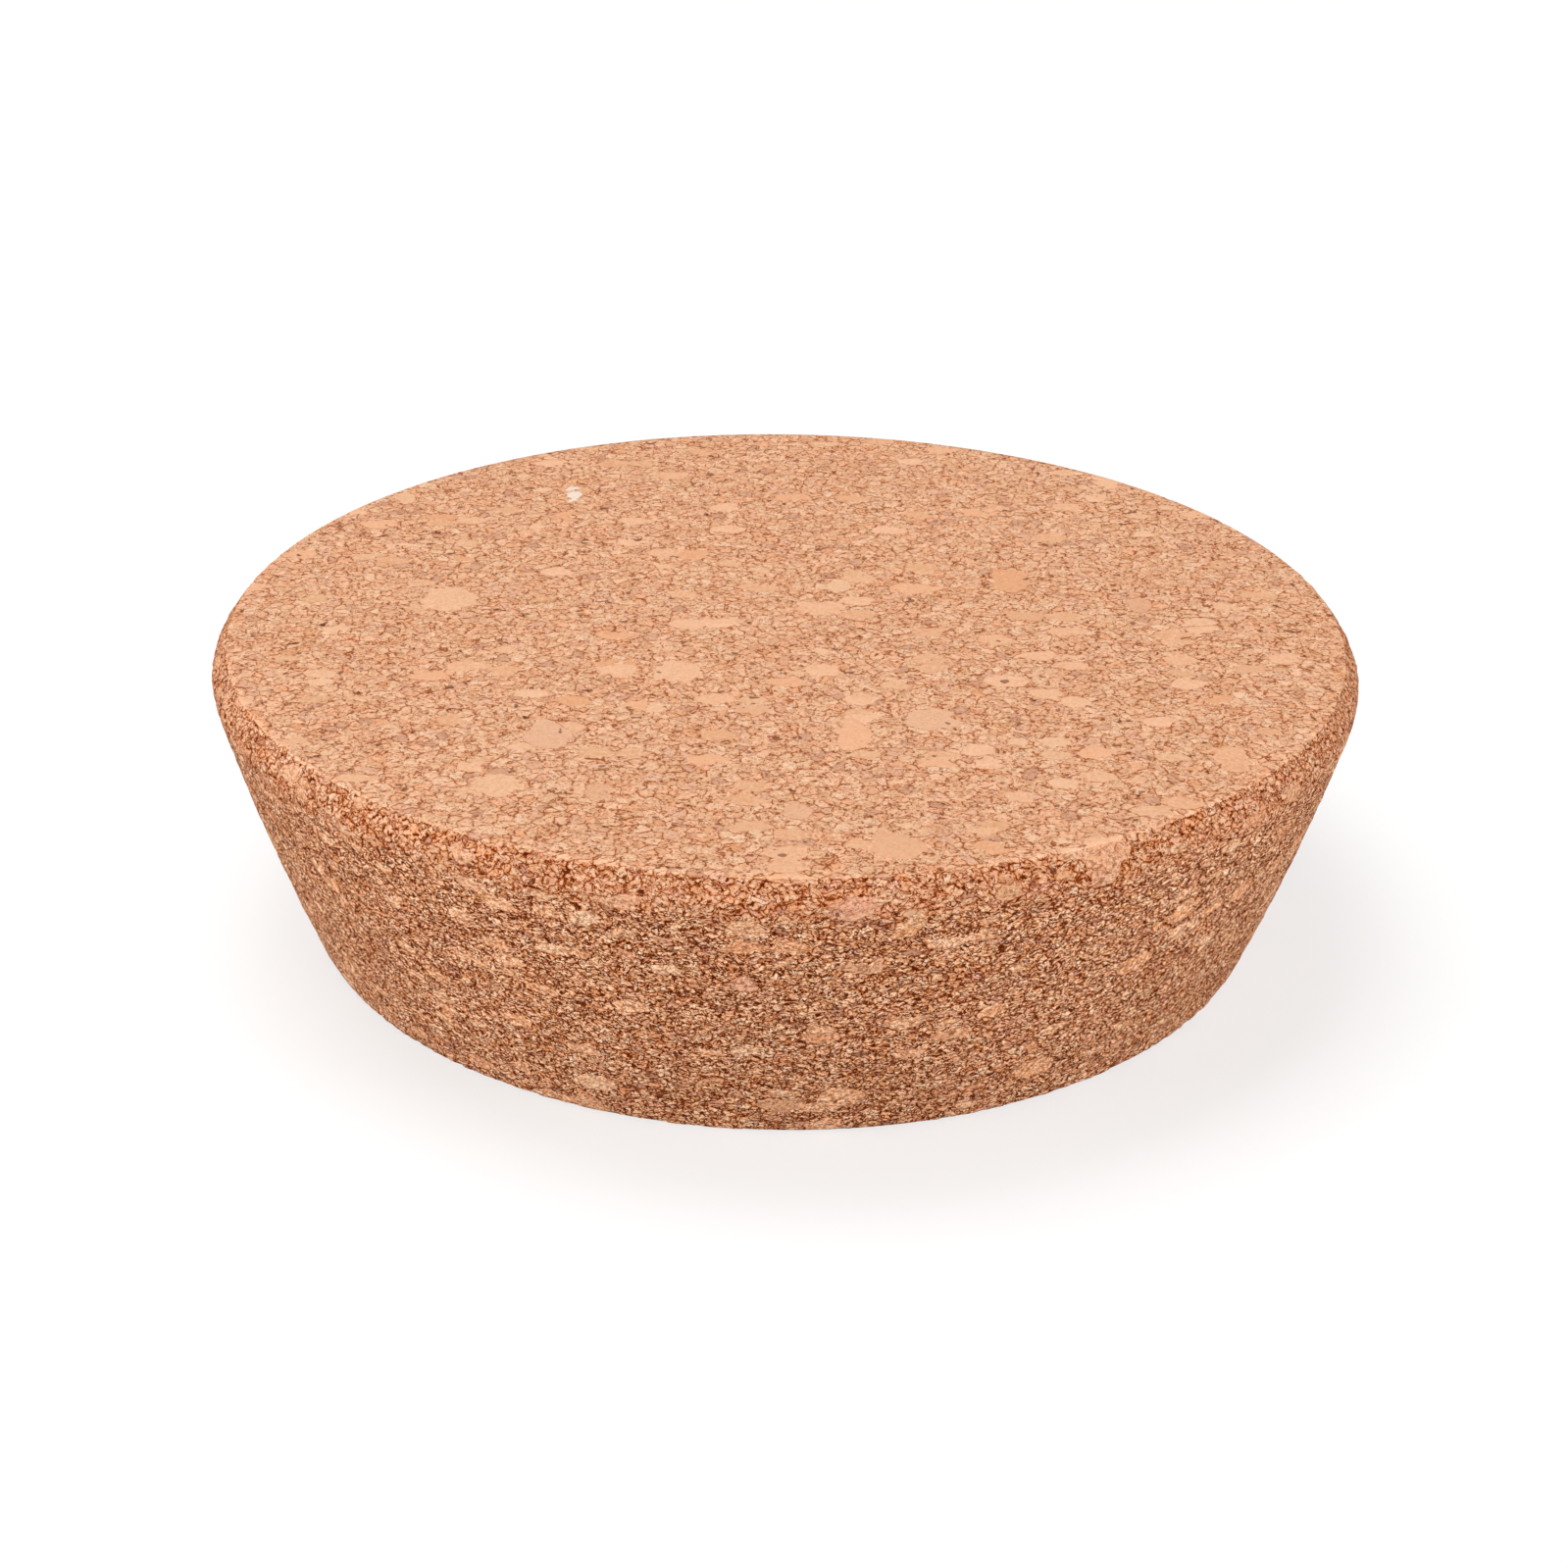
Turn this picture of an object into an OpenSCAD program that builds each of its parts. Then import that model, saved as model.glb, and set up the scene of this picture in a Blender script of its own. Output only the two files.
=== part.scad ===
// Tapered cork stopper for a wide-mouthed jar: one piece of pressed cork granules, ground
// to a plug that narrows downwards, with a short bevelled band round its head.
// It stands on its small end. The axis is Z and the origin is the centre of the base.

/* [Overall] */
// Widest diameter, across the shoulder where the band meets the plug
head_d = 100; // [60:1:150]
// Height from the base to the top face
height = 26; // [16:0.5:45]

/* [Plug] */
// Taper of the plug: how far its side leans from the axis, in degrees
taper = 17.5; // [12:0.5:25]
// Radius of the slight bow that grinding leaves in the plug's side
side_bow_r = 190; // [150:10:1000]

/* [Head] */
// Height of the bevelled band, from the shoulder up to the top face
band_h = 2.5; // [2:0.1:6]
// How far the band leans in between the shoulder and the top face
band_lean = 1.3; // [0.5:0.1:4]
// Radius that rolls the band over into the plug's side, as far as the band's size lets it
shoulder_r = 2.2; // [0.5:0.1:5]

/* [Edges] */
// Radius of the broken edge round the top face
top_edge_r = 0.4; // [0.1:0.1:0.8]
// Radius of the broken edge round the base
base_edge_r = 0.6; // [0.1:0.1:2]

/* [Hidden] */
cork_colour = [0.79, 0.56, 0.39];
// Straight steps that draw each kind of arc
edge_steps = 6;
roll_steps = 6;
side_steps = 12;
// Sides that the preview draws a full turn with
$fn = 180;

// The shoulder's radius, small enough to leave the band a straight part below its top edge:
// at the first limit the roll would reach the top face, and at the second the edge itself
reaches_face = band_h;
reaches_edge = (pow(band_lean, 2) + pow(band_h, 2)) / (2 * band_lean);
roll_r = min(shoulder_r, 0.9 * min(reaches_face, reaches_edge));

// The section's corners and the centre of the shoulder's arc, as [radius, height]
head_r = head_d / 2;
shoulder_z = height - band_h;
base_corner = [head_r - shoulder_z * tan(taper), 0];
top_corner = [head_r - band_lean, height];
roll_centre = [head_r - roll_r, shoulder_z];

function unit(v) = v / norm(v);

function direction(v) = atan2(v[1], v[0]);

function left_of(v) = [-v[1], v[0]];

function on_circle(centre, r, angle) = centre + r * [cos(angle), sin(angle)];

// Points of an arc from one angle to another, both ends included
function arc(centre, r, from, to, steps) =
    [for (i = [0:steps]) on_circle(centre, r, from + (to - from) * i / steps)];

// Centre of the wide arc of radius wide_r that starts at the point p and ends flush with the
// outside of the small circle: it lies wide_r from p and wide_r - r from the circle's centre
function wide_arc_centre(p, wide_r, centre, r) =
    let (
        span = norm(centre - p),
        along = (pow(wide_r, 2) - pow(wide_r - r, 2) + pow(span, 2)) / (2 * span),
        across = sqrt(pow(wide_r, 2) - pow(along, 2)),
        way = unit(centre - p)
    )
    p + along * way + across * left_of(way);

// Angle on a circle at which the straight line that comes down from the point p grazes it
function contact_angle(p, centre, r) = direction(p - centre) - acos(r / norm(p - centre));

// The arc of radius r that rounds the corner between the points before and after it,
// on a section that is walked anticlockwise
function rounded_corner(before, corner, after, r, steps) =
    let (
        back = unit(before - corner),
        on = unit(after - corner),
        half = acos(back * on) / 2,
        centre = corner + unit(back + on) * r / sin(half),
        from = direction(corner + back * r / tan(half) - centre)
    )
    arc(centre, r, from, from + 180 - 2 * half, steps);

// Right half of the section, walked anticlockwise: base, side, shoulder, band, top face
function half_section() =
    let (
        foot = [0, 0],
        crown = [0, height],
        bow_centre = wide_arc_centre(base_corner, side_bow_r, roll_centre, roll_r),
        side_low = direction(base_corner - bow_centre),
        side_high = direction(roll_centre - bow_centre),
        side = arc(bow_centre, side_bow_r, side_low, side_high, side_steps),
        band_low = contact_angle(top_corner, roll_centre, roll_r),
        roll_under = arc(roll_centre, roll_r, side_high, 0, roll_steps),
        roll_over = arc(roll_centre, roll_r, 0, band_low, roll_steps)
    )
    concat(
        [foot],
        rounded_corner(foot, base_corner, side[1], base_edge_r, edge_steps),
        [for (i = [1:side_steps - 1]) side[i]],
        roll_under,
        [for (i = [1:roll_steps]) roll_over[i]],
        rounded_corner(roll_over[roll_steps], top_corner, crown, top_edge_r, edge_steps),
        [crown]
    );

module stopper() {
    color(cork_colour)
        rotate_extrude()
            polygon(half_section());
}

stopper();
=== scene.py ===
import math
from types import SimpleNamespace

import bpy
from mathutils import Matrix, Vector


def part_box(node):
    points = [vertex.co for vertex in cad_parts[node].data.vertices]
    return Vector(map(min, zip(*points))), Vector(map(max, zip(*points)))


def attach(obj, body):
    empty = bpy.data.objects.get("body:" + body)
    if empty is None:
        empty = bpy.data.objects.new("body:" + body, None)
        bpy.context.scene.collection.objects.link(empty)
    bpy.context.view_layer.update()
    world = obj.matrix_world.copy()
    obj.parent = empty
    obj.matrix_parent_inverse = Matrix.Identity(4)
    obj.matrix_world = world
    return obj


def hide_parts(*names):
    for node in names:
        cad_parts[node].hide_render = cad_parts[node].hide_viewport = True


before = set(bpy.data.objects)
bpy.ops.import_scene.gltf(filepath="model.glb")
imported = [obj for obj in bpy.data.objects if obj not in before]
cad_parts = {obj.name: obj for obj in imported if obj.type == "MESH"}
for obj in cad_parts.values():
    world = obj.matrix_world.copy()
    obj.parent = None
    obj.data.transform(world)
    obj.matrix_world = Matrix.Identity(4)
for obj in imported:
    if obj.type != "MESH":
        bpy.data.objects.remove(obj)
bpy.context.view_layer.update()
millimetre = 0.001


# One output socket. Sums written with it add their Math nodes to its tree.
class Flow:
    def __init__(self, bench, socket):
        self.bench = bench
        self.socket = socket

    def other(self, name):  # another output of the same node
        return Flow(self.bench, self.socket.node.outputs[name])

    def maths(self, operation, *values):
        return self.bench.maths(operation, self, *values)

    def __add__(self, value):
        return self.bench.maths("ADD", self, value)

    def __radd__(self, value):
        return self.bench.maths("ADD", value, self)

    def __sub__(self, value):
        return self.bench.maths("SUBTRACT", self, value)

    def __rsub__(self, value):
        return self.bench.maths("SUBTRACT", value, self)

    def __mul__(self, value):
        return self.bench.maths("MULTIPLY", self, value)

    def __rmul__(self, value):
        return self.bench.maths("MULTIPLY", value, self)

    def __truediv__(self, value):
        return self.bench.maths("DIVIDE", self, value)

    def __rtruediv__(self, value):
        return self.bench.maths("DIVIDE", value, self)

    def __gt__(self, value):
        return self.bench.maths("GREATER_THAN", self, value)

    def __lt__(self, value):
        return self.bench.maths("LESS_THAN", self, value)


# Builds one node tree, a material's or a shape's
class Bench:
    def __init__(self, tree):
        self.tree = tree

    def node(self, kind, settings=None, sockets=None, output=0):
        made = self.tree.nodes.new(kind)
        for name, value in (settings or {}).items():
            if name == "stops":
                self.setStops(made.color_ramp, value)
            else:
                setattr(made, name, value)
        for name, value in (sockets or {}).items():
            if isinstance(value, Flow):
                self.tree.links.new(value.socket, made.inputs[name])
            else:
                made.inputs[name].default_value = value
        return Flow(self, made.outputs[output]) if made.outputs else None

    def maths(self, operation, *values):
        return self.node("ShaderNodeMath", {"operation": operation}, dict(enumerate(values)))

    def setStops(self, ramp, stops):
        while len(ramp.elements) < len(stops):
            ramp.elements.new(1.0)
        for element, (place, colour) in zip(ramp.elements, stops):
            element.position = place
            element.color = (*colour, 1.0)

    def vector(self, operation, first, second, output=0):
        sockets = {0: first, 3 if operation == "SCALE" else 1: second}
        return self.node("ShaderNodeVectorMath", {"operation": operation}, sockets, output)

    def ease(self, value, low, high):  # 0 at low, 1 at high, soft at both ends
        return self.node("ShaderNodeMapRange", {"interpolation_type": "SMOOTHSTEP"},
                         {"Value": value, "From Min": low, "From Max": high})

    def pick(self, below, above, share):  # blends two numbers
        return self.node("ShaderNodeMix", {"data_type": "FLOAT"}, {0: share, 2: below, 3: above})

    def tint(self, below, above, share, mode="MIX"):  # blends two colours
        return self.node("ShaderNodeMix", {"data_type": "RGBA", "blend_type": mode},
                         {0: share, 6: below, 7: above}, 2)

    def noise(self, place, scale, detail=1.0, roughness=0.5, output=0):
        return self.node("ShaderNodeTexNoise", {"noise_dimensions": "3D"},
                         {"Vector": place, "Scale": scale, "Detail": detail,
                          "Roughness": roughness}, output)

    def cells(self, place, scale, feature="F1", output="Distance"):
        return self.node("ShaderNodeTexVoronoi", {"voronoi_dimensions": "3D", "feature": feature},
                         {"Vector": place, "Scale": scale}, output)


# The pressed block and what grinding and sanding leave of it, in millimetres
grain = {
    "drifts": [(0.6, 0.45), (2.4, 0.14)],   # waves per mm and reach of the ragged edges
    "patches": (0.8, 2.0, 0.6),             # waves per mm, detail and roughness of pale patches
    "granule": 1.15,            # spacing of the granules that fill the block
    "flat granules": 2.0,       # how much thinner they are along the press's axis
    "flat crumbs": 1.7,         # and the crumbs that they break into
    "crumbs": {"side": 0.30, "band": 0.40, "sanded": 0.6},  # spacing of the crumbs
    # pits where a granule has dropped out: waves per mm, the part of the wave that is one,
    # and how deep they go where the side is ground
    "pits": {"waves": 0.9, "from": 0.70, "to": 0.78, "deep": 0.4},
    "skin": (0.16, 0.09),       # from a flat face, where the ground side ends and sanding is whole
    "band": (4.0, 2.0),         # below the top face, where the side ends and the band is whole
    "band wander": 3,           # how far that edge wanders up and down
    # chunks lie among the granules: their spacing, the share of places that hold one, and how
    # far they reach from their middles as shares of that spacing, the smallest and the largest
    "chunks": [
        {"size": 2.3, "share": 0.17, "reach": (0.30, 0.75),
         "stretch": (0.76, 1.2, 1), "shift": (31.7, 4.1, 9.3)},
        {"size": 4.6, "share": 0.06, "reach": (0.28, 0.62),
         "stretch": (1.2, 0.84, 1), "shift": (7.9, 52.3, 3.7)},
    ],
    # the chunks that show most on this stopper, listed one by one: the middle's place from the axis
    # and from the top face, then half sizes, how pale it is and its hue number
    "set chunks": [
        ((-9, -12, 0), (2.2, 2.4, 1.5), 0.75, 0.55),
        ((-14, -12, 0), (2.1, 1.4, 1.5), 0.8, 0.6),
        ((-19, -25, 0), (2.1, 2.6, 1.5), 0.6, 0.11),
        ((-22, -34, 0), (2.0, 2.0, 1.5), 0.65, 0.5),
        ((-30, 3, 0), (2.5, 2.8, 1.5), 0.65, 0.5),
        ((3, 2, 0), (2.7, 1.6, 1.5), 0.6, 0.7),
        ((12, 7, 0), (2.6, 1.3, 1.5), 0.55, 0.88),
        ((12, -21, 0), (2.3, 2.1, 1.5), 0.55, 0.12),
        ((5, -49.5, -2), (1.9, 1.6, 0.9), 0.62, 0.1),
        ((-21, 30, 0), (0.5, 1.9, 1.5), 0.9, 2.0),      # the whitish scrap
    ],
    "set chunk edge": 2.4,      # how far the patches push the edges of those in and out
}


def split(bench, flow):
    first = bench.node("ShaderNodeSeparateXYZ", {}, {0: flow})
    return first, first.other("Y"), first.other("Z")


def raggedPlace(bench, place):
    # place is a position in mm; the warp makes the edges of the grain ragged
    warped = place
    for scale, reach in grain["drifts"]:
        wave = bench.noise(place, scale, output="Color")
        push = bench.vector("SCALE", bench.vector("SUBTRACT", wave, (0.5, 0.5, 0.5)), 2 * reach)
        warped = bench.vector("ADD", warped, push)
    return warped


def widePatches(bench, warped):
    return bench.noise(warped, *grain["patches"])


def granuleFields(bench, warped, patch, height):
    # the granule or chunk at each point: its random numbers, how far inside its edge the
    # point lies, and whether it is a chunk
    flat = bench.vector("MULTIPLY", warped, (1, 1, grain["flat granules"]))
    size = grain["granule"]
    tone, hue = split(bench, bench.cells(flat, 1 / size, "F1", "Color"))[1:]
    edge = bench.cells(flat, 1 / size, "DISTANCE_TO_EDGE") * size
    found = {"chunk": 0.0, "tone": tone, "hue": hue, "inside": edge}
    for layer in grain["chunks"]:
        at = bench.vector("ADD", bench.vector("MULTIPLY", flat, layer["stretch"]), layer["shift"])
        distance = bench.cells(at, 1 / layer["size"])
        chance, tone, hue = split(bench, distance.other("Color"))
        inside = (bench.pick(*layer["reach"], hue) - distance) * layer["size"]
        here = (chance > 1 - layer["share"]) * (inside > 0)
        new = {"chunk": 1.0, "tone": tone, "hue": hue, "inside": inside}
        found = {name: bench.pick(found[name], new[name], here) for name in found}
    fromTop = bench.vector("SUBTRACT", warped, (0, 0, height / millimetre))
    for middle, half, tone, hue in grain["set chunks"]:
        away = bench.vector("DISTANCE", bench.vector("DIVIDE", fromTop, half),
                            [a / b for a, b in zip(middle, half)], "Value")
        inside = (1 - away) * min(half[0], half[1]) + grain["set chunk edge"] * (patch - 0.5)
        new = {"chunk": 1.0, "tone": tone, "hue": hue, "inside": inside}
        found = {name: bench.pick(found[name], new[name], inside > 0) for name in found}
    return SimpleNamespace(**found)


def pitShare(bench, place):
    pits = grain["pits"]
    return bench.ease(bench.noise(place, pits["waves"]), pits["from"], pits["to"])


def crumbFields(bench, warped, size):
    # the crumb at each point: random numbers, how far its middle is and how its surface leans
    flat = bench.vector("MULTIPLY", warped, (1, 1, grain["flat crumbs"]))
    distance = bench.cells(flat, 1 / size)
    seeds, spot = distance.other("Color"), distance.other("Position")
    level, _, hue = split(bench, seeds)
    lean = bench.vector("DOT_PRODUCT", bench.vector("SUBTRACT", flat, spot),
                        bench.vector("SUBTRACT", seeds, (0.5, 0.5, 0.5)), "Value")
    return SimpleNamespace(level=level, hue=hue, distance=distance, lean=lean)


def sandedShare(bench, place, height):
    # 1 on the two flat faces, which are sanded, and 0 on the ground side
    up = split(bench, place)[2]
    top = height / millimetre
    ground, whole = grain["skin"]
    return bench.ease(up, top - ground, top - whole).maths("MAXIMUM", bench.ease(up, ground, whole))


# Colours of the cork, from the darkest granule to the palest, of the binder between, and of the painted
# shade in the hollows
corkColours = {
    "sanded": [(0.0, (0.44, 0.15, 0.04)), (0.25, (0.70, 0.34, 0.165)), (0.5, (0.86, 0.50, 0.305)),
               (0.75, (0.95, 0.615, 0.42)), (1.0, (0.99, 0.78, 0.60))],
    "ground": [(0.0, (0.36, 0.070, 0.006)), (0.25, (0.66, 0.255, 0.092)), (0.5, (0.91, 0.505, 0.28)),
               (0.75, (1.0, 0.69, 0.47)), (1.0, (1.0, 0.82, 0.65))],
    # painted shade in the hollows between crumbs, in the pits and in the strokes on the ground side
    "hollow shade": (0.09, 0.008, 0.0005),
    "binder": (0.24, 0.038, 0.002),
    # painted shade beside the hollows and the outlines
    "shade": (0.80, 0.50, 0.29),        # what the cork beside a dark place is multiplied by
    # the band is multiplied by this and so is darker
    "band darkening": (0.79, 0.745, 0.72),      # and the band
    "blush": (1.0, 0.97, 0.96),         # and each granule, by its hue number, by one of these
    "tan": (0.975, 1.0, 1.0),
    "orange": (0.82, 0.34, 0.15),
    "rose": (0.74, 0.36, 0.25),
    "grey": (0.60, 0.40, 0.26),
    "bark": (0.30, 0.13, 0.08),
    "fleck": (0.90, 0.76, 0.64),
    "cast": (0.3, 0.7),                 # the hue numbers at which that is all tan or all blush
    # which granules stand out, by their hue number, and by how much on the side and the faces
    "odd granules": [("orange", 0.86, 0.90, (0.4, 0.25)), ("rose", 0.14, 0.10, (0.5, 0.35)),
                     ("grey", 0.955, 0.965, (0.4, 0.2)), ("bark", 0.03, 0.025, (0.5, 0.25)),
                     ("fleck", 1.5, 1.6, (0.9, 0.9))],
    "odd crumbs": 0.7,                  # how much a crumb with such a number does too, on the side
}

# How the finest grain shows. Of a pair, the first is for the ground side and the second for the
# sanded faces.
fineGrain = {
    "grit": (3.8, 2.0, 0.7),        # waves per mm, detail and roughness of each noise
    "fibre": (2.6, 2.0, 0.7),
    "swirl": (1.7, 2.0, 0.6),
    "bits": (2.1, 1.0, 0.5),
    "flat grit": 1.5,               # how much finer the grit is along the press's axis
    "flat fibre": 1.7,              # and the fibres, which the press lays round the side
    "band share": 0.5,              # how far the band is on the way from ground to sanded
    "chunk calm": (0.5, 0.9),       # how free the chunks are of hollows and strokes
    # binder round the granules, broken where the bits say so
    "outline": (0.055, 0.072),      # mm that it reaches into a granule
    "outline rough": 0.22,          # mm that the grit moves its edge
    "outline core": 0.4,            # the share of its width that is darkest
    "outline from": (0.38, 0.42),   # the bits at which it starts and is whole
    "outline whole": (0.50, 0.54),
    # strokes of binder in the granules, where a swirl crosses its middle
    "line": (0.062, 0.034),         # half its width, on the swirl
    "line core": 0.014,             # and half the width of its darkest part
    "line from": (0.62, 0.56),      # the bits at which it stops and is whole
    "line whole": 0.50,
    "line frayed": 0.5,             # how much the grit frays that
    "line dark": (0.95, 0.8),       # how dark the strokes are beside the outlines
    "stroke dark": (0.95, 0.8),     # and how dark both are
    # on the ground side the strokes are painted as shaded hollows too
    "stroke hollow": 0.85,          # and how hollow on the ground side
    # hollows between crumbs, by how far a place is from the crumb's middle; they are painted dark as shade
    "shut": (0.70, 0.75, 0.865),    # how far hollows start: side, band and faces
    "open": 0.08,                   # how much further they are whole
    "crumb rough": 0.8,             # how much the grit moves their edges
    "hollow dark": (0.97, 0.8),
    # the pits are darkened with painted shade
    "pit": (0.2, 0.7),              # the pit's depth at which it starts to darken and is whole
    "pit dark": 0.8,
    # painted shade on the cork beside all of these
    "shadeHalo": 0.25,                   # how far before a hollow it starts
    "outline shade reach": 3,              # and before an outline, in widths of it
    "painted shade dark": (0.85, 0.45),
    # how pale the cork is, from 0 to 1, and what makes it paler or darker
    "tone": 0.52,
    "ground tone": 0.08,
    "granule tone": 0.17,
    "chunk tone": -0.05,
    "patch tone": 0.1,
    # a crumb's own tone, made to follow its height, so a high crumb is painted lighter and a low one
    # darker, as painted light and shade
    "crumb tone and shade": (0.3, 0.15),
    "grit tone": (2.0, 0.8),
    "fibre tone": (1.1, 0.5),
    "stand": 0.03,                  # mm between a low crumb and a high one
    "lean": 0.5,                    # how steeply they lean
    "grit relief": 0.04,            # mm that the grit stands on them
    "round": 0.06,                  # mm that they round off by, and where that starts and ends
    "round from": (0.35, 0.8),
    "bump": (0.6, 0.25),            # how strongly all of that shows where the cork is loose
    "least bump": 0.08,             # and how strongly it shows everywhere
    "roughness": 0.8,
    "hollow roughness": 0.1,        # how much rougher it is in a hollow
    "shine": 0.005,                 # cork hardly shines
}


def fineFields(bench, place, height):
    # all that the colour and the bump are made from, at each place in mm
    at = SimpleNamespace(sanded=sandedShare(bench, place, height))
    at.rough = 1 - at.sanded
    up = split(bench, place)[2]
    warped = raggedPlace(bench, place)
    at.patch = widePatches(bench, warped)
    ends = [height / millimetre - below for below in grain["band"]]
    at.onBand = bench.ease(up + grain["band wander"] * (at.patch - 0.5), *ends)
    at.smooth = at.sanded.maths("MAXIMUM", at.onBand * fineGrain["band share"])
    sizes = grain["crumbs"]
    onSide = bench.pick(sizes["side"], sizes["band"], at.onBand > 0.5)
    at.crumb = crumbFields(bench, warped, bench.pick(onSide, sizes["sanded"], at.sanded > 0.5))
    at.granule = granuleFields(bench, warped, at.patch, height)
    at.loose = 1 - at.granule.chunk * bench.pick(*fineGrain["chunk calm"], at.sanded)
    upright = bench.vector("MULTIPLY", place, (1, 1, fineGrain["flat grit"]))
    lain = bench.vector("MULTIPLY", warped, (1, 1, fineGrain["flat fibre"]))
    at.grit = bench.noise(upright, *fineGrain["grit"]) - 0.5
    at.fibre = bench.noise(lain, *fineGrain["fibre"]) - 0.5
    at.swirl = bench.noise(lain, *fineGrain["swirl"]) - 0.5
    at.bits = bench.noise(place, *fineGrain["bits"])
    at.pits = pitShare(bench, place)
    return at


def darkMarks(bench, at):
    # broken outlines round the granules and strokes of binder in them, the hollows between
    # crumbs and the pits, which are painted as shade, and painted shade beside all of these
    wide = bench.pick(*fineGrain["outline"], at.sanded)
    rim = at.granule.inside + fineGrain["outline rough"] * at.grit
    broken = bench.ease(at.bits, bench.pick(*fineGrain["outline from"], at.sanded),
                        bench.pick(*fineGrain["outline whole"], at.sanded))
    outline = bench.ease(rim, wide, wide * fineGrain["outline core"]) * broken
    line = bench.ease(at.swirl.maths("ABSOLUTE"), bench.pick(*fineGrain["line"], at.smooth),
                      fineGrain["line core"])
    frayed = at.bits + fineGrain["line frayed"] * at.grit
    line = line * bench.ease(frayed, bench.pick(*fineGrain["line from"], at.sanded),
                             fineGrain["line whole"]) * at.loose
    stroke = outline.maths("MAXIMUM", line * bench.pick(*fineGrain["line dark"], at.sanded))

    onSide, onBand, onFaces = fineGrain["shut"]
    shut = bench.pick(bench.pick(onSide, onBand, at.onBand), onFaces, at.sanded)
    depth = at.crumb.distance + fineGrain["crumb rough"] * at.grit
    # painted shade in the hollows, in the ground side's strokes and in the pits
    hollow = bench.ease(depth, shut, shut + fineGrain["open"]) * at.loose
    hollow = hollow.maths("MAXIMUM", stroke * (1 - at.smooth) * fineGrain["stroke hollow"])
    hollow = hollow.maths("MAXIMUM", bench.ease(at.pits, *fineGrain["pit"]) * fineGrain["pit dark"])
    # painted shade that leads into each hollow and lies beside each outline
    shadeHalo = bench.ease(depth, shut - fineGrain["shadeHalo"], shut) * at.loose
    beside = bench.ease(rim, wide * fineGrain["outline shade reach"], wide) * broken
    return stroke, hollow, shadeHalo.maths("MAXIMUM", beside)


def dye(bench, colour, name, share, mode="MIX"):
    return bench.tint(colour, (*corkColours[name], 1), share, mode)


def corkTone(bench, at):
    tone = fineGrain["tone"] + at.rough * fineGrain["ground tone"]
    tone = tone + (at.granule.tone - 0.5) * fineGrain["granule tone"]
    tone = tone + at.granule.chunk * fineGrain["chunk tone"] + (at.patch - 0.5) * fineGrain["patch tone"]
    # each crumb's tone follows its height: partly its own tone, partly painted light and shade
    tone = tone + (at.crumb.level - 0.5) * bench.pick(*fineGrain["crumb tone and shade"], at.smooth) * at.loose
    tone = tone + at.grit * bench.pick(*fineGrain["grit tone"], at.smooth) * (0.5 + 0.5 * at.loose)
    return tone + at.fibre * bench.pick(*fineGrain["fibre tone"], at.smooth)


def corkColour(bench, at, stroke, hollow, shadeHalo):
    tone = corkTone(bench, at)
    ground, sanded = [bench.node("ShaderNodeValToRGB", {"stops": corkColours[name]}, {0: tone})
                      for name in ("ground", "sanded")]
    colour = bench.tint(ground, sanded, at.smooth)
    # darker on the band
    colour = dye(bench, colour, "band darkening", at.onBand * at.rough, "MULTIPLY")
    lean = bench.ease(at.granule.hue, *corkColours["cast"])
    cast = dye(bench, (*corkColours["tan"], 1), "blush", lean)
    colour = bench.tint(colour, cast, 1.0, "MULTIPLY")
    for name, low, high, shares in corkColours["odd granules"]:
        oddCrumb = bench.ease(at.crumb.hue, low, high) * at.rough * corkColours["odd crumbs"]
        odd = bench.ease(at.granule.hue, low, high).maths("MAXIMUM", oddCrumb)
        colour = dye(bench, colour, name, odd * bench.pick(*shares, at.sanded))
    # painted shade beside the hollows and the outlines
    colour = dye(bench, colour, "shade", shadeHalo * bench.pick(*fineGrain["painted shade dark"], at.sanded), "MULTIPLY")
    colour = dye(bench, colour, "binder", stroke * bench.pick(*fineGrain["stroke dark"], at.sanded))
    # painted shade in the hollows and the pits
    return dye(bench, colour, "hollow shade", hollow * bench.pick(*fineGrain["hollow dark"], at.sanded))


def corkBump(bench, at):
    relief = at.crumb.level * fineGrain["stand"] + at.crumb.lean * fineGrain["lean"]
    relief = relief + at.grit * fineGrain["grit relief"]
    relief = relief - bench.ease(at.crumb.distance, *fineGrain["round from"]) * fineGrain["round"]
    strength = at.loose * bench.pick(*fineGrain["bump"], at.smooth) + fineGrain["least bump"]
    return bench.node("ShaderNodeBump", {}, {"Strength": strength, "Distance": millimetre,
                                             "Height": relief})


def makeCork(name, height):
    material = bpy.data.materials.new(name)
    material.use_nodes = True
    material.node_tree.nodes.clear()
    bench = Bench(material.node_tree)
    spot = bench.node("ShaderNodeTexCoord", {}, {}, "Object")
    at = fineFields(bench, bench.vector("SCALE", spot, 1 / millimetre), height)
    stroke, hollow, shadeHalo = darkMarks(bench, at)
    shader = bench.node("ShaderNodeBsdfPrincipled", {}, {
        "Base Color": corkColour(bench, at, stroke, hollow, shadeHalo),
        "Roughness": fineGrain["roughness"] + fineGrain["hollow roughness"] * hollow,
        "Normal": corkBump(bench, at),
        "Specular IOR Level": fineGrain["shine"]})
    bench.node("ShaderNodeOutputMaterial", {}, {"Surface": shader})
    return material


# The body's mesh. The section itself comes from the CAD body, so its sizes are written nowhere else.
body = {
    "Squares Across": 168,      # over the top face; four times as many go round the side
    "Squares Up": 62,           # from the base's edge to the top's
    "Sink": 0.03,               # mm that the whole skin lies in, so nothing stands out of the body
    "Stagger": 0.16,            # mm between granules that were torn low and left high, on the side
    "Groove": 0.06,             # mm that the skin dips between two granules
    "Groove Reach": 0.3,        # mm from the granules' edge over which it dips
    "Sanded Share": 0.22,       # how much of that is left where the faces are sanded
}


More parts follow.
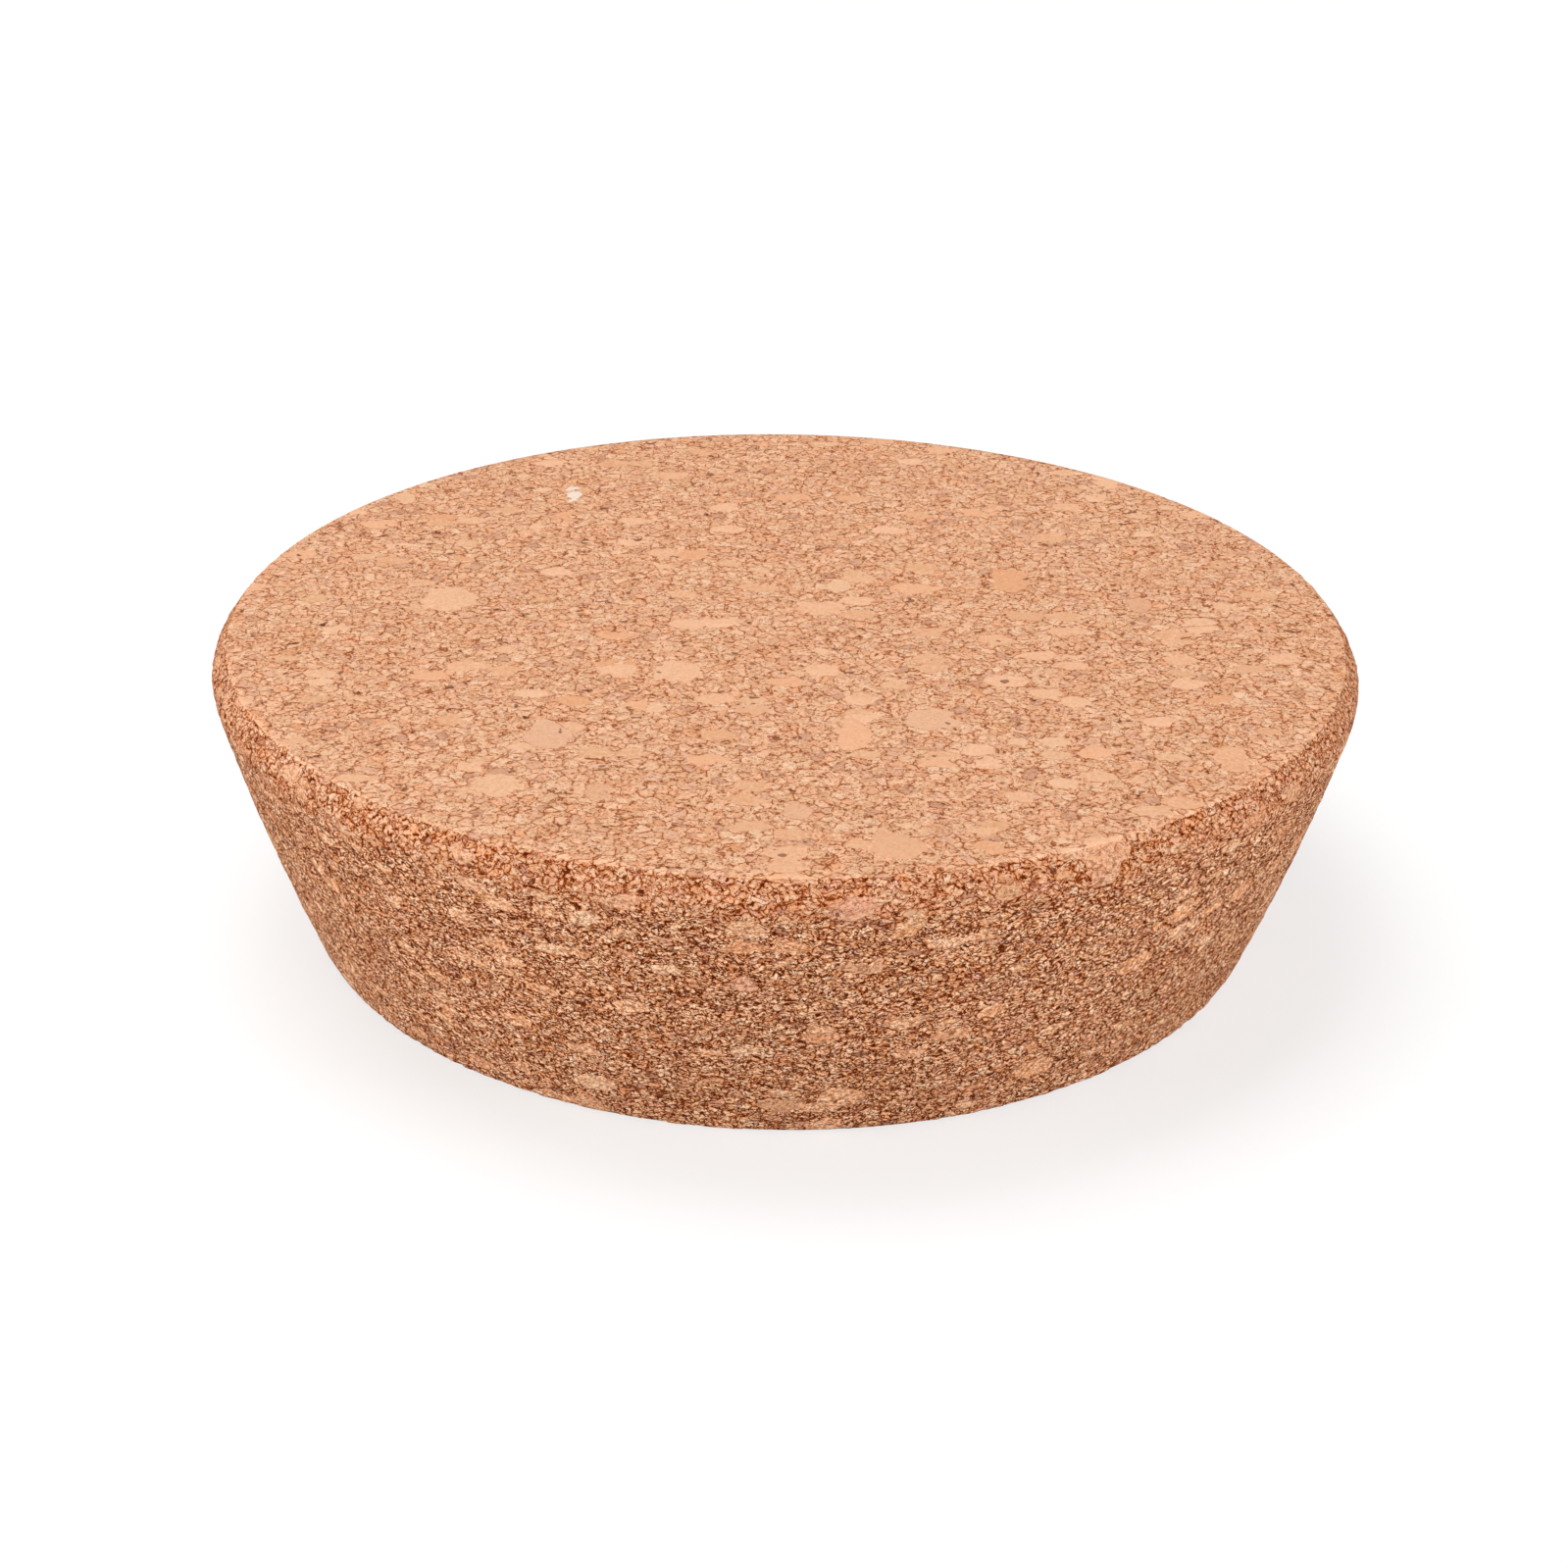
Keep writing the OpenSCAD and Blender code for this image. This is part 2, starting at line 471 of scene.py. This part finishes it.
def stopperSection(node):
    # the CAD body's section as [radius, height], from the base's centre up to the top's
    radii = {}
    for vertex in node.data.vertices:
        level = round(vertex.co.z, 6)
        radii[level] = max(radii.get(level, 0), math.hypot(vertex.co.x, vertex.co.y))
    rings = [(radii[level], level) for level in sorted(radii)]
    return [(0, rings[0][1])] + rings + [(0, rings[-1][1])]


def bodyTree(section, material):
    tree = bpy.data.node_groups.new("groundStopper", "GeometryNodeTree")
    tree.interface.new_socket("Geometry", in_out="OUTPUT", socket_type="NodeSocketGeometry")
    tree.interface.new_socket("Section", in_out="INPUT", socket_type="NodeSocketGeometry")
    for name, value in body.items():
        kind = "NodeSocketInt" if isinstance(value, int) else "NodeSocketFloat"
        tree.interface.new_socket(name, in_out="INPUT", socket_type=kind)
    bench = Bench(tree)
    given = bench.node("NodeGroupInput", {}, {}, "Section")
    sizes = {name: given.other(name) for name in body}
    across, upward = sizes["Squares Across"], sizes["Squares Up"]

    # a box of even squares, from -1 to 1 each way; then each square goes to its place on the
    # turned section
    hair = 1e-5     # far less than a square
    box = bench.node("GeometryNodeMeshCube", {}, {"Size": (2, 2, 2), "Vertices X": across + 1,
                                                  "Vertices Y": across + 1,
                                                  "Vertices Z": upward + 1}, "Mesh")
    position = bench.node("GeometryNodeInputPosition")
    x, y, z = split(bench, position)
    wideX = x.maths("ABSOLUTE") > y.maths("ABSOLUTE") - hair
    long = bench.pick(y, x, wideX)
    short = bench.pick(x, y, wideX)
    reach = long.maths("ABSOLUTE")
    spread = short / (long + (reach < hair)) * (math.pi / 4)
    alongWay, sideWay = spread.maths("COSINE"), spread.maths("SINE")
    turn = bench.node("ShaderNodeCombineXYZ", {}, {0: bench.pick(sideWay, alongWay, wideX),
                                                   1: bench.pick(alongWay, sideWay, wideX)})
    # where each vertex lies along the section: over the base, up the side, over the top
    ends = [section[1][0], section[-2][0]]      # radii of the two flat faces
    whole = sum(math.dist(a, b) for a, b in zip(section, section[1:]))
    onSide = ends[0] + (z + 1) * ((whole - ends[0] - ends[1]) / 2)
    flat = z.maths("ABSOLUTE") > 1 - hair
    onFace = bench.pick(reach * ends[0], whole - reach * ends[1], z > 0)
    along = bench.pick(onSide, onFace, flat)
    curve = bench.node("GeometryNodeMeshToCurve", {}, {"Mesh": given})
    sample = bench.node("GeometryNodeSampleCurve", {"mode": "LENGTH", "use_all_curves": True},
                        {"Curves": curve, "Length": along}, "Position")
    radius, _, level = split(bench, sample)
    ground = bench.vector("ADD", bench.vector("SCALE", turn, radius * long.maths("SIGN")),
                          bench.node("ShaderNodeCombineXYZ", {}, {2: level}))
    turned = bench.node("GeometryNodeSetPosition", {}, {"Geometry": box, "Position": ground})

    # press the grain into it
    place = bench.vector("SCALE", position, 1 / millimetre)
    warped = raggedPlace(bench, place)
    height = section[-1][1]
    patch = widePatches(bench, warped)
    granule = granuleFields(bench, warped, patch, height)
    rough = bench.pick(1, sizes["Sanded Share"], sandedShare(bench, place, height))
    standing = bench.pick(patch, granule.tone, bench.pick(0.5, 1.0, granule.chunk))
    groove = sizes["Groove"] * bench.ease(granule.inside, sizes["Groove Reach"], 0.0)
    pits = grain["pits"]["deep"] * pitShare(bench, place)
    depth = sizes["Sink"] + (sizes["Stagger"] * (1 - standing) + groove + pits) * rough
    normal = bench.node("GeometryNodeInputNormal")
    pressed = bench.node("GeometryNodeSetPosition", {}, {
        "Geometry": turned, "Offset": bench.vector("SCALE", normal, depth * -millimetre)})
    smooth = bench.node("GeometryNodeSetShadeSmooth", {}, {"Geometry": pressed})
    real = bench.node("GeometryNodeRealizeInstances", {}, {"Geometry": smooth})
    dressed = bench.node("GeometryNodeSetMaterial", {}, {"Geometry": real, "Material": material})
    bench.node("NodeGroupOutput", {}, {"Geometry": dressed})
    return tree


def makeStopper(name, section, material):
    # a polyline of the section goes in, the finished body comes out as a plain mesh
    line = bpy.data.meshes.new("sectionLine")
    line.from_pydata([(radius, 0, level) for radius, level in section],
                     [(i, i + 1) for i in range(len(section) - 1)], [])
    source = bpy.data.objects.new("sectionLine", line)
    bpy.context.scene.collection.objects.link(source)
    modifier = source.modifiers.new("groundStopper", "NODES")
    modifier.node_group = bodyTree(section, material)
    for item in modifier.node_group.interface.items_tree:
        if item.in_out == "INPUT" and item.name in body:
            modifier[item.identifier] = body[item.name]
    ready = source.evaluated_get(bpy.context.evaluated_depsgraph_get())
    mesh = bpy.data.meshes.new_from_object(ready)
    bpy.data.objects.remove(source)
    mesh.name = name
    piece = bpy.data.objects.new(name, mesh)
    bpy.context.scene.collection.objects.link(piece)
    return piece


camera = {
    "away": 0.25,           # metres from the middle of the stopper
    "elevation": 25.66,     # degrees above the horizon
    "lens": 63.65,          # mm
    "sensor": 36,           # mm wide
    "lower": 0.72,          # degrees that the view is lowered, which centres the stopper in it
    "lean": 0.8,            # degrees of roll
    "clip": (0.01, 10),     # metres, the nearest and farthest that it sees
}


def makeCamera(middle):
    eye = bpy.data.cameras.new("camera")
    eye.lens, eye.sensor_width = camera["lens"], camera["sensor"]
    eye.clip_start, eye.clip_end = camera["clip"]
    holder = bpy.data.objects.new("camera", eye)
    bpy.context.scene.collection.objects.link(holder)
    bpy.context.scene.camera = holder
    up = math.radians(camera["elevation"])
    holder.location = middle + camera["away"] * Vector((0, -math.cos(up), math.sin(up)))
    tilt = math.pi / 2 - up - math.radians(camera["lower"])
    holder.rotation_euler = (Matrix.Rotation(tilt, 3, "X")
                             @ Matrix.Rotation(math.radians(camera["lean"]), 3, "Z")).to_euler()


studio = {
    "floor": 4.0,           # metres across
    "paper": 0.36,          # how much light the floor throws back
    "glow": 0.68,           # how much the camera sees it glow round the stopper, to look white
    "fade": (0.3, 0.9),     # metres away over which the glow grows to 1, as the lamps fall off
    "sky": 0.22,            # how brightly the room itself lights the stopper
    "lamps": [              # name, place, size, watts
        ("overhead", (-0.2, 0.2, 1.05), 0.6, 7.2),
        ("front", (0.0, -1.2, 0.03), 0.6, 14.4),
        ("left", (-1.1, -0.3, 0.2), 0.6, 9.4),
        ("right", (1.1, -0.3, 0.2), 0.6, 9.0),
    ],
}


def seenShare(bench):
    # 1 for what the camera sees, in a gloss or through glass too, and 0 for what lights the stopper
    ray = bench.node("ShaderNodeLightPath", {}, {}, "Is Camera Ray")
    glossOrGlass = ray.other("Is Glossy Ray").maths("MAXIMUM", ray.other("Is Transmission Ray"))
    return ray.maths("MAXIMUM", glossOrGlass)


def makeStudio(middle):
    scene = bpy.context.scene
    world = bpy.data.worlds.new("studio")
    scene.world = world
    world.use_nodes = True
    world.node_tree.nodes.clear()
    bench = Bench(world.node_tree)
    strength = bench.pick(studio["sky"], 1, seenShare(bench))
    light = bench.node("ShaderNodeBackground", {}, {"Color": (1, 1, 1, 1), "Strength": strength})
    bench.node("ShaderNodeOutputWorld", {}, {"Surface": light})

    half = studio["floor"] / 2
    mesh = bpy.data.meshes.new("floor")
    mesh.from_pydata([(-half, -half, 0), (half, -half, 0), (half, half, 0), (-half, half, 0)],
                     [], [(0, 1, 2, 3)])
    floor = bpy.data.objects.new("floor", mesh)
    scene.collection.objects.link(floor)
    paper = bpy.data.materials.new("palePaper")
    paper.use_nodes = True
    paper.node_tree.nodes.clear()
    bench = Bench(paper.node_tree)
    spot = bench.node("ShaderNodeTexCoord", {}, {}, "Object")
    far = bench.ease(bench.vector("DISTANCE", spot, (0, 0, 0), "Value"), *studio["fade"])
    white = bench.tint((*[studio["glow"]] * 3, 1), (1, 1, 1, 1), far)
    matt = bench.node("ShaderNodeBsdfDiffuse", {}, {"Color": (*[studio["paper"]] * 3, 1)})
    glow = bench.node("ShaderNodeEmission", {}, {"Color": white, "Strength": seenShare(bench)})
    both = bench.node("ShaderNodeAddShader", {}, {0: matt, 1: glow})
    bench.node("ShaderNodeOutputMaterial", {}, {"Surface": both})
    mesh.materials.append(paper)
    for name, place, size, watts in studio["lamps"]:
        lamp = bpy.data.lights.new(name, "AREA")
        lamp.size, lamp.energy = size, watts
        holder = bpy.data.objects.new(name, lamp)
        scene.collection.objects.link(holder)
        holder.location = place
        holder.rotation_euler = (Vector(place) - middle).to_track_quat("Z", "Y").to_euler()


low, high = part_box("stopper")
middle = Vector((0, 0, (low.z + high.z) / 2))
makeCamera(middle)
makeStudio(middle)
print("camera and studio set")
section = stopperSection(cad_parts["stopper"])
cork = makeCork("pressedCork", high.z)
print("cork mixed with", len(cork.node_tree.nodes), "nodes")
stopper = makeStopper("corkStopper", section, cork)
print("stopper body", len(stopper.data.vertices), "vertices", len(stopper.data.polygons), "faces")
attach(stopper, "root")
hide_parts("stopper")

bpy.context.scene.view_settings.view_transform = "Standard"
